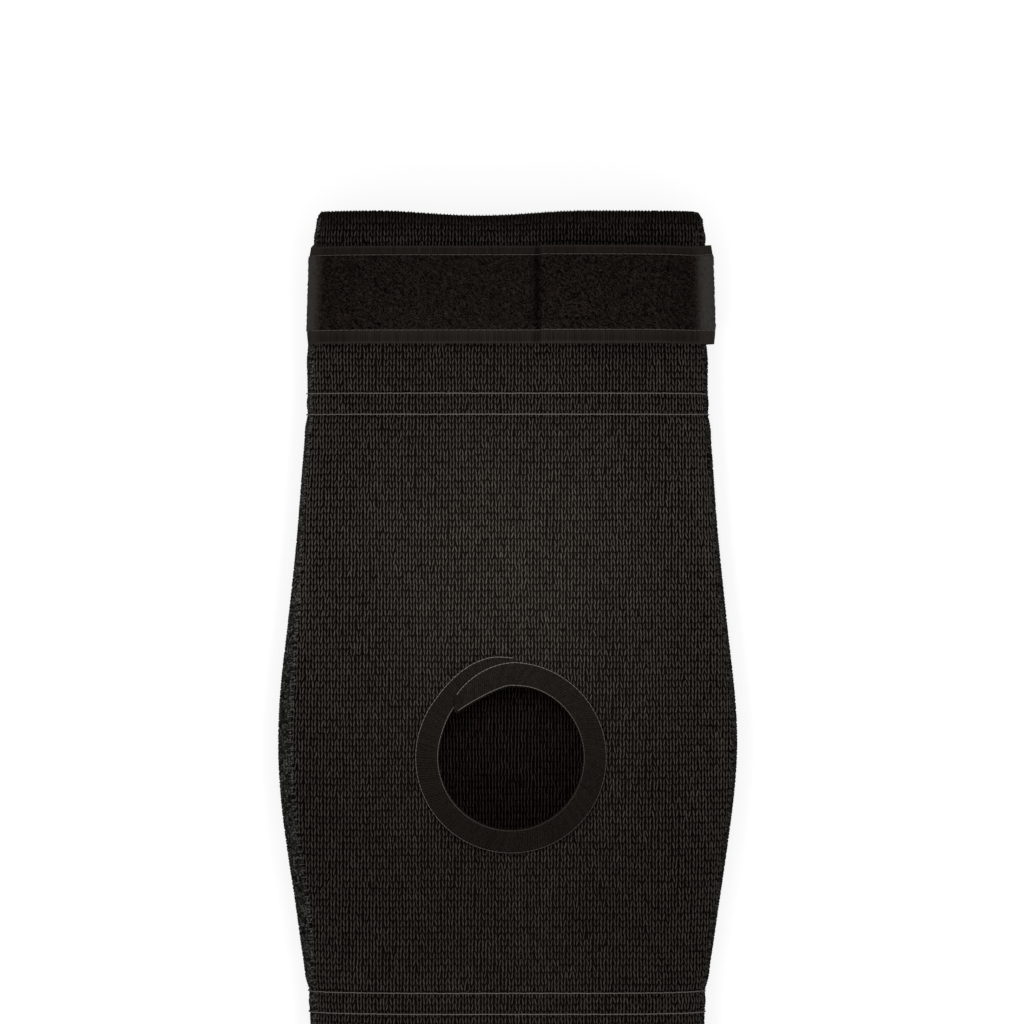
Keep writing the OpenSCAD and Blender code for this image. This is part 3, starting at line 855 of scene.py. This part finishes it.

# %% [markdown]
# ## Straps
# A strap is one length of ribbed elastic. It is sewn to the back, runs round the left side
# and ends under the flap; on the right it folds round the side, lies over its own beginning
# and ends in a tab with a hook patch underneath. It is laid out flat by length, width and
# height, like the panels. Flap and tab bend at their roots, so each strap is cut into three
# pieces where the bending is finished: the wrap rides the sleeve, and the other two stay put.

# %% Path of a strap
strap_gap, tab_lift, split_x, tab_end = 0.7, 3.64, 52.5, 12.5
tape_near, tape_far = 13.6, 15.2
right_side = 362
left_pull, right_slack = 0.9, 2.0


def turn_of(u):
    """The angle round the section at a share of its half width."""
    return np.degrees(np.arccos(np.sign(u) * np.abs(u) ** (oval / 2)))


def strap_ring(half):
    """Angles along a strap, close together at the sides and even in x over the flat faces."""
    quarter = np.concatenate([np.arange(0, 60, 0.5), turn_of(np.linspace(0.757, 0.002, 300))])
    ring = np.concatenate([quarter, 180 - quarter[::-1], 180 + quarter, 360 - quarter[::-1], 360 + quarter])
    ring = np.unique(np.round(ring, 9))
    start = float(turn_of((split_x - 3) / (half + strap_gap)))
    stop = 360 + float(turn_of(tab_end / (half + strap_gap)))
    return np.concatenate([[start], ring[(ring > start) & (ring < stop)], [stop]])


def strap_path(y_mid):
    """Tables over a strap's length: place, height share, growth, normal, wear with a painted sheen, and
    pressed line with a painted shadow.
    """
    half = float(half_width(y_mid))
    ring = strap_ring(half)
    turn = np.radians(ring)
    u = np.sign(np.cos(turn)) * np.abs(np.cos(turn)) ** (2 / oval)
    up = np.sin(turn)
    low, high = math.cos(math.radians(13)) ** (2 / oval), (split_x + 1) / (half + strap_gap)
    grow = strap_gap + np.where(ring > 360, tab_lift * smooth((low - u) / (low - high)), 0)
    grow = grow - left_pull * bell(ring, 180, 22) + right_slack * bell(ring, right_side, 14)
    rise = np.where(up >= 0, crown, belly)
    x, z = (half + grow) * u, seam_z + (rise + grow) * up
    length = np.concatenate([[0], np.cumsum(np.hypot(np.diff(x), np.diff(z)))])
    dx, dz = np.gradient(x, length), np.gradient(z, length)
    size = np.hypot(dx, dz)
    # At the turns round the sides the loops are flattened, and pile and band are painted pale: a painted
    # sheen.
    wear_and_sheen = 1 - smooth(((half + grow) * (1 - np.abs(u)) - 1.6) / 5.6)
    # Beside the tab's end the loops are pressed down, and a shadow is painted along them.
    pressed_and_shadowed = np.where(ring < 180, bell(x, tab_end - 1, 0.9), 0)
    return {"mid": y_mid, "tape": (-tape_near, tape_far) if y_mid > 0 else (-tape_far, tape_near),
            "length": length, "u": u, "up": up, "grow": grow, "nx": dz / size, "nz": -dx / size,
            "x": x, "ring": ring, "wear_and_sheen": wear_and_sheen, "pressed_and_shadowed": pressed_and_shadowed}


strap_mid = (strap_low + strap_high) / 2
straps = {"thigh": strap_path(strap_mid), "calf": strap_path(-strap_mid)}
print("strap lengths", [round(path["length"][-1], 1) for path in straps.values()], "mm")

# %% Places on a strap
def along_strap(path, l, *keys):
    """A strap's tables read at lengths along it."""
    return [np.interp(l, path["length"], path[key]) for key in keys]


def length_at(path, ring):
    return float(np.interp(ring, path["ring"], path["length"]))


def strap_place(path, l, v, h):
    """Length, width and height on a strap to a place, in metres."""
    u, up, grow, nx, nz, ring = along_strap(path, l, "u", "up", "grow", "nx", "nz", "ring")
    over = smooth((l - length_at(path, 358)) / 40)
    slack = (0.019 * v + np.sign(path["mid"]) * 0.54) * bell(ring, right_side, 20)
    y = path["mid"] + v + 0.1 * over + slack
    rise = np.where(up >= 0, crown, belly)
    x = (half_width(y) + grow) * u + nx * h
    z = seam_z + (rise + grow) * up + nz * h
    return np.stack([x, y, np.maximum(z, 0.05)], axis=-1) * MM


print("right side of the thigh strap at", round(length_at(straps["thigh"], 360), 1), "mm")

# %% Three lengths of a strap
back_cut_x, flap_cut_x = 58, 64.5


def strap_lengths(path):
    """Part, word for it in the CAD nodes, start and stop: cut on the back and on the flap."""
    half = float(half_width(path["mid"])) + strap_gap
    cuts = [0, length_at(path, 360 - float(turn_of(back_cut_x / half))),
            length_at(path, 360 + float(turn_of(flap_cut_x / half))), path["length"][-1]]
    return zip(("wrap", "side", "tab"), ("strap", "flap", "tab"), cuts, cuts[1:])


def hold(piece, strap, part, slot, *nodes):
    """The wrap rides the sleeve; the side and the tab stay where they are; the slot is not used."""
    y = straps[strap]["mid"] * MM
    if part == "wrap":
        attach(piece, "sleeve")
    elif part == "side":
        strap + "_flap"
        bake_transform(piece)
    else:
        strap + "_flap"
        strap + "_tab"
        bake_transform(piece)
    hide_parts(*nodes)
    print(piece.name, len(piece.data.polygons), "faces")


for part, node, start, stop in strap_lengths(straps["thigh"]):
    print("thigh", part, round(start, 1), "to", round(stop, 1), "mm")

# %% [markdown]
# ## Elastic band
# Elastic is ribbed across: fine rubber cords lie under a woven cover. The ribs show on the
# plain edges beside the loop tape and on the whole underside. Bump alone would leave the edge
# of the strap smooth, so they are waves in the mesh, and the outer edges bend down a little, as
# a strap under tension does.

# %% Bands
strap_half_w, strap_t, rib = 19.0, 1.3, 0.92
rib_outside, rib_under, rib_edge, cord_spread = 0.09, 0.06, 0.1, 0.07


def spread_out(mesh, start, stop):
    """A slab's points, and their lengths along a strap between two places."""
    flat = spots(mesh)
    return flat, start + (flat[:, 1] + 1) / 2 * (stop - start)


def edge_drop(v):
    return 0.5 * smooth((np.abs(v) - 14.5) / 4.5)


def band_piece(name, path, start, stop):
    mesh = slab(int((stop - start) / rib * 4), 18, 0.0, strap_t)
    flat, l = spread_out(mesh, start, stop)
    v = np.sin(flat[:, 0] * math.pi / 2) * strap_half_w
    wave = np.sin(l * 2 * math.pi / rib)
    outer = flat[:, 2] > 0.5
    low, high = path["tape"]
    plain = np.maximum(smooth((v - high + 0.6) / 0.8), smooth((low + 0.6 - v) / 0.8))
    h = np.where(outer, flat[:, 2] - edge_drop(v) + rib_outside * wave * plain, rib_under * (1 - wave))
    v = v + rib_edge * wave * (np.abs(v) > strap_half_w - 0.1)
    put(mesh, strap_place(path, l, v, h))
    by_tape = np.abs(v - (low + high) / 2)
    # Both edges of the band get a painted highlight, and a light line runs beside the loop tape.
    edge_highlight_and_line = 0.5 * smooth((np.abs(v) - 18.2) / 0.6) + 0.22 * bell(by_tape, 15.1, 0.5)
    cord = dice.normal(0, cord_spread, (3, int(path["length"][-1] / rib) + 2))
    streak = cord[np.where(v < low, 0, np.where(v > high, 1, 2)), (l / rib).astype(int)]
    # The outer face is painted lighter towards the turns, a painted sheen, and darker beside the tab's end,
    # a painted shadow.
    wear_and_sheen, pressed_and_shadowed = (tone * outer for tone in along_strap(path, l, "wear_and_sheen", "pressed_and_shadowed"))
    shade = np.clip(0.4 + 0.16 * wave + edge_highlight_and_line + streak + 0.5 * wear_and_sheen - 0.3 * pressed_and_shadowed, 0, 1)
    return new_piece(name, mesh, elastic_weave, shade)


for strap, path in straps.items():
    for part, node, start, stop in strap_lengths(path):
        band = band_piece(f"{strap}_band_{part}", path, start, stop)
        hold(band, strap, part, "elastic", f"{strap}_{node}_band")

# %% [markdown]
# ## Loop tape
# The outer face of the strap carries brushed loops for the hooks. Noise alone looks like
# paint, so thousands of small arched loops stand on a thin ground, turned and sized at random
# from a fixed seed. One loop is a three-sided ring spun through half a turn. Where the strap
# turns round the sides the pile is flattened and painted pale grey, a painted sheen, and beside
# the tab's end the loops are pressed down with a painted shadow along them.

# %% Tufts of the pile
tuft_size = 0.4
tuft_table = dice.uniform(-1, 1, (512, 96))


def tufts(l, v):
    """Brushing gathers the loops in tufts under a millimetre wide: -1 between them, 1 on top."""
    rows, columns = tuft_table.shape
    i, j = l / tuft_size, v / tuft_size + columns // 2
    i0, j0 = np.floor(i).astype(int), np.floor(j).astype(int)
    fi, fj = smooth(i - i0), smooth(j - j0)
    near = tuft_table[i0 % rows, j0] * (1 - fj) + tuft_table[i0 % rows, j0 + 1] * fj
    far = tuft_table[(i0 + 1) % rows, j0] * (1 - fj) + tuft_table[(i0 + 1) % rows, j0 + 1] * fj
    return near * (1 - fi) + far * fi


def tuft_tone(tuft):
    return 0.36 + 0.42 * tuft


print("tuft table", tuft_table.shape)

# %% Loops of the pile
loops_per_mm2 = 0.78
loop_wide, loop_tall, loop_lean = (0.28, 0.6), (0.45, 0.9), 0.4
# The last three numbers are the tones of the painted sheen where the strap turns round the sides.
fresh_spread, sheen_loop_tone, sheen_loop_spread, sheen_ground_tone = 0.42, 1.75, 0.35, 1.7


def spun_ring(segments, radius, turn, steps, capped):
    """A ring of few sides, spun about the origin through part of a turn."""
    bm = bmesh.new()
    upright = Matrix.Translation((1, 0, 0)) @ Matrix.Rotation(math.pi / 2, 4, "X")
    bmesh.ops.create_circle(bm, cap_ends=capped, segments=segments, radius=radius, matrix=upright)
    bmesh.ops.spin(bm, geom=bm.verts[:] + bm.edges[:] + bm.faces[:], cent=(0, 0, 0), axis=(0, -1, 0),
                   angle=turn, steps=steps)
    bmesh.ops.recalc_face_normals(bm, faces=bm.faces[:])
    return bm


def pile_piece(name, path, start, stop):
    low, high = path["tape"]
    count = int((stop - start) * (high - low) * loops_per_mm2)
    mesh, corners = copies(spun_ring(3, 0.2, math.pi, 3, capped=False), count)
    x, y, z = spots(mesh).reshape(count, corners, 3).transpose(2, 0, 1)
    spin = dice.uniform(0, math.pi, count)[:, None]
    wide = dice.uniform(*loop_wide, count)[:, None]
    tall = dice.uniform(*loop_tall, count)[:, None]
    lean = dice.normal(0, loop_lean, count)[:, None]
    x, z = x * wide, np.clip(z * tall, -0.1, None)
    y = y * 0.9 + z * lean
    root_l = dice.uniform(start, stop, count)[:, None]
    root_v = dice.uniform(low + 0.4, high - 0.4, count)[:, None]
    l = np.clip(root_l + x * np.cos(spin) - y * np.sin(spin), 0, path["length"][-1])
    v = root_v + x * np.sin(spin) + y * np.cos(spin)
    tuft = tufts(root_l, root_v)
    wear_and_sheen, pressed_and_shadowed = along_strap(path, root_l, "wear_and_sheen", "pressed_and_shadowed")
    flatter = (1 - 0.4 * wear_and_sheen) * (1 - 0.7 * pressed_and_shadowed)
    put(mesh, strap_place(path, l, v, strap_t + 0.1 + z * (0.65 + 0.35 * tuft) * flatter))
    wear_and_sheen, pressed_and_shadowed = wear_and_sheen[:, 0], pressed_and_shadowed[:, 0]
    fresh = np.clip(tuft_tone(tuft[:, 0]) + dice.normal(0, fresh_spread, count), 0, 1)
    # Loop tone is painted pale at the turns, a painted sheen, and darker beside the tab's end, a painted
    # shadow.
    shade = fresh * (1 - wear_and_sheen) * (1 - 0.6 * pressed_and_shadowed) + dice.normal(sheen_loop_tone, sheen_loop_spread, count) * wear_and_sheen
    return new_piece(name, mesh, loop_yarn, np.repeat(shade, corners))


print("loops to a square mm:", loops_per_mm2)

# %% Ground of the pile, and both straps
def pile_ground(name, path, start, stop):
    mesh = slab(int((stop - start) / 0.75), 38, strap_t - 0.05, strap_t + 0.3)
    flat, l = spread_out(mesh, start, stop)
    low, high = path["tape"]
    v = low + (flat[:, 0] + 1) / 2 * (high - low)
    tuft = tufts(l, v)
    top = np.where(flat[:, 2] > strap_t, 0.22 * tuft, 0)
    put(mesh, strap_place(path, l, v, flat[:, 2] + top - edge_drop(v)))
    wear_and_sheen, pressed_and_shadowed = along_strap(path, l, "wear_and_sheen", "pressed_and_shadowed")
    # The ground is painted pale at the turns, a painted sheen, and darker beside the tab's end, a painted
    # shadow.
    shade = tuft_tone(tuft) * (1 - wear_and_sheen) + sheen_ground_tone * wear_and_sheen - 0.5 * pressed_and_shadowed
    return new_piece(name, mesh, pile_felt, shade)


for strap, path in straps.items():
    for part, node, start, stop in strap_lengths(path):
        for kind, make in (("tape", pile_ground), ("loops", pile_piece)):
            piece = make(f"{strap}_{kind}_{part}", path, start, stop)
            hold(piece, strap, part, "loop_pile", f"{strap}_{node}_loop_tape")

# %% [markdown]
# ## Strap stitching
# Two light rows sew the loop tape down, made of dashes as the hem rows are. On the back, four
# bar tacks hold the band to the sleeve. A bar tack is a dense zigzag, so one thread that goes
# to and fro makes it.

# %% Rows and bar tacks
row_pitch, row_gap = 2.4, 0.25
tack_x, tack_half, tack_edge, tack_turns = 22, 5, 18.5, 59


def strap_rows(name, path, start, stop):
    last = path["length"][-1] - 0.2
    rows = []
    for v_row in (path["tape"][0] - row_gap, path["tape"][1] + row_gap):
        along, lift = dashes(start + 0.1, stop + 2.2, row_pitch, fill=0.97, high=0.28)
        v = v_row + dice.normal(0, 0.03, along.shape)
        rows.extend(strap_place(path, np.minimum(along, last), v, strap_t - 0.1 + lift))
    return sew(name, rows, 0.16, sewing_thread, 0.3)


def bar_tacks(name, path):
    on_back = path["up"] < -0.9
    tacks = []
    for x in (-tack_x, tack_x):
        middle = float(np.interp(x, path["x"][on_back], path["length"][on_back]))
        for inner, outer in zip(path["tape"], (-tack_edge, tack_edge)):
            l = middle + np.linspace(-tack_half, tack_half, tack_turns)
            v = np.where(np.arange(tack_turns) % 2 == 0, outer, inner * 1.07)
            tacks.append(strap_place(path, l, v, np.full(tack_turns, strap_t + 0.05)))
    return sew(name, tacks, 0.2, sewing_thread, 0.3, sides=0)


for strap, path in straps.items():
    for part, node, start, stop in strap_lengths(path):
        rows = strap_rows(f"{strap}_rows_{part}", path, start, stop)
        hold(rows, strap, part, "thread", f"{strap}_{node}_stitching")
    settle(bar_tacks(f"{strap}_bar_tacks", path), "sleeve", "thread", f"{strap}_strap_bar_tacks")

# %% [markdown]
# ## Hook patch
# Under the tab sits a patch of stiff nylon hooks. It only shows when the tab is peeled off,
# so a few hundred small bent hooks on a thin plate are enough. A hook is a four-sided ring
# spun through rather more than half a turn, and every other one faces the other way.

# %% Hooks
hook_pitch_l, hook_pitch_v, hook_size = 1.35, 1.2, 0.3


def hook_plate(name, path, start, stop):
    plate = slab(36, 30, -0.38, -0.02)
    flat, l = spread_out(plate, start, stop)
    low, high = path["tape"]
    v = low + (flat[:, 0] + 1) / 2 * (high - low)
    put(plate, strap_place(path, l, v, flat[:, 2]))
    return new_piece(name, plate, hook_nylon, 0.4)


def hook_rows(name, path, start, stop):
    low, high = path["tape"]
    l, v = np.meshgrid(np.arange(start + 0.8, stop - 0.8, hook_pitch_l),
                       np.arange(low + 0.8, high - 0.5, hook_pitch_v))
    mesh, corners = copies(spun_ring(4, 0.3, math.radians(215), 5, capped=True), l.size)
    x, y, z = spots(mesh).reshape(l.size, corners, 3).transpose(2, 0, 1)
    way = np.where(np.arange(l.size) % 2 == 0, 1, -1)[:, None]
    h = -0.5 - np.clip(z + 0.5, -0.4, None) * 0.33
    put(mesh, strap_place(path, l.reshape(-1, 1) + x * hook_size * way, v.reshape(-1, 1) + y * hook_size, h))
    return new_piece(name, mesh, hook_nylon, 0.6)


for strap, path in straps.items():
    half = float(half_width(path["mid"])) + strap_gap
    start, stop = (length_at(path, 360 + float(turn_of(x / half))) for x in (split_x - 5, tab_end + 1.5))
    for kind, make in (("hook_plate", hook_plate), ("hooks", hook_rows)):
        piece = make(f"{strap}_{kind}", path, start, stop)
        settle(piece, strap + "_tab", "hook_plastic", f"{strap}_tab_hook_patch")

# %% [markdown]
# ## Floor, light and camera
# The photograph looks straight down on a white ground. A long lens keeps the sides upright.
# The floor is a pale plane; to the camera, and in reflections, it adds enough light of its own
# to read as white, which brighter lamps would do at the cloth's expense, and it keeps the soft
# shadow. A white sky fills in from all round. One soft lamp hangs over the upper middle, where
# the real cloth is lightest, and a weaker one beyond the calf end.

# %% Floor
floor_grey, floor_glow = 0.7, 0.78
floor_bm = bmesh.new()
bmesh.ops.create_grid(floor_bm, x_segments=1, y_segments=1, size=4.0)
floor = bpy.data.objects.new("floor", to_mesh(floor_bm))
bpy.context.scene.collection.objects.link(floor)
ground, tree, shader = new_finish("pale_floor", Base_Color=(floor_grey,) * 3 + (1,), Roughness=0.9)
rays = tree.nodes.new("ShaderNodeLightPath").outputs
seen = Tone(rays["Is Camera Ray"]) + Tone(rays["Is Glossy Ray"]) + Tone(rays["Is Transmission Ray"])
glow = Tone.node(tree, "ShaderNodeEmission", None, {"Strength": seen * floor_glow})
both = Tone.node(tree, "ShaderNodeAddShader", None, {0: Tone(shader.outputs[0]), 1: glow})
tree.links.new(both.socket, tree.nodes["Material Output"].inputs["Surface"])
floor.data.materials.append(ground)
print("floor at z 0")

# %% Light
sky_fill = 0.35
world = bpy.data.worlds.new("studio")
bpy.context.scene.world = world
world.use_nodes = True
sky = world.node_tree
seen = Tone.node(sky, "ShaderNodeLightPath", out="Is Camera Ray")
sky.nodes["Background"].inputs["Color"].default_value = (1, 1, 1, 1)
feed(sky.nodes["Background"], "Strength", seen * (1 - sky_fill) + sky_fill)


def soft_lamp(name, place, aim, size, power):
    lamp = bpy.data.lights.new(name, "AREA")
    lamp.shape = "DISK"
    lamp.size = size
    lamp.energy = power
    carrier = bpy.data.objects.new(name, lamp)
    carrier.location = place
    carrier.rotation_mode = "QUATERNION"
    carrier.rotation_quaternion = (Vector(aim) - Vector(place)).to_track_quat("-Z", "Y")
    carrier.visible_camera = False
    bpy.context.scene.collection.objects.link(carrier)


soft_lamp("thigh_lamp", (0.0, 0.047, 0.125), (0, 0.047, 0.02), 0.08, 0.074)
soft_lamp("calf_lamp", (0.0, -0.2, 0.125), (0, -0.2, 0.02), 0.08, 0.05)
print("lamps:", len(bpy.data.lights))

# %% Camera
field, sharp_z = 0.39936, 0.0225
lens = bpy.data.cameras.new("copy_stand")
lens.lens = 135.0
lens.sensor_width = 36.0
stand = bpy.data.objects.new("copy_stand", lens)
stand.location = (0.0018, 0.0748, sharp_z + field * lens.lens / lens.sensor_width)
bpy.context.scene.collection.objects.link(stand)
bpy.context.scene.camera = stand
bpy.context.scene.view_settings.view_transform = "Standard"
print("camera height", round(stand.location.z, 3), "m")
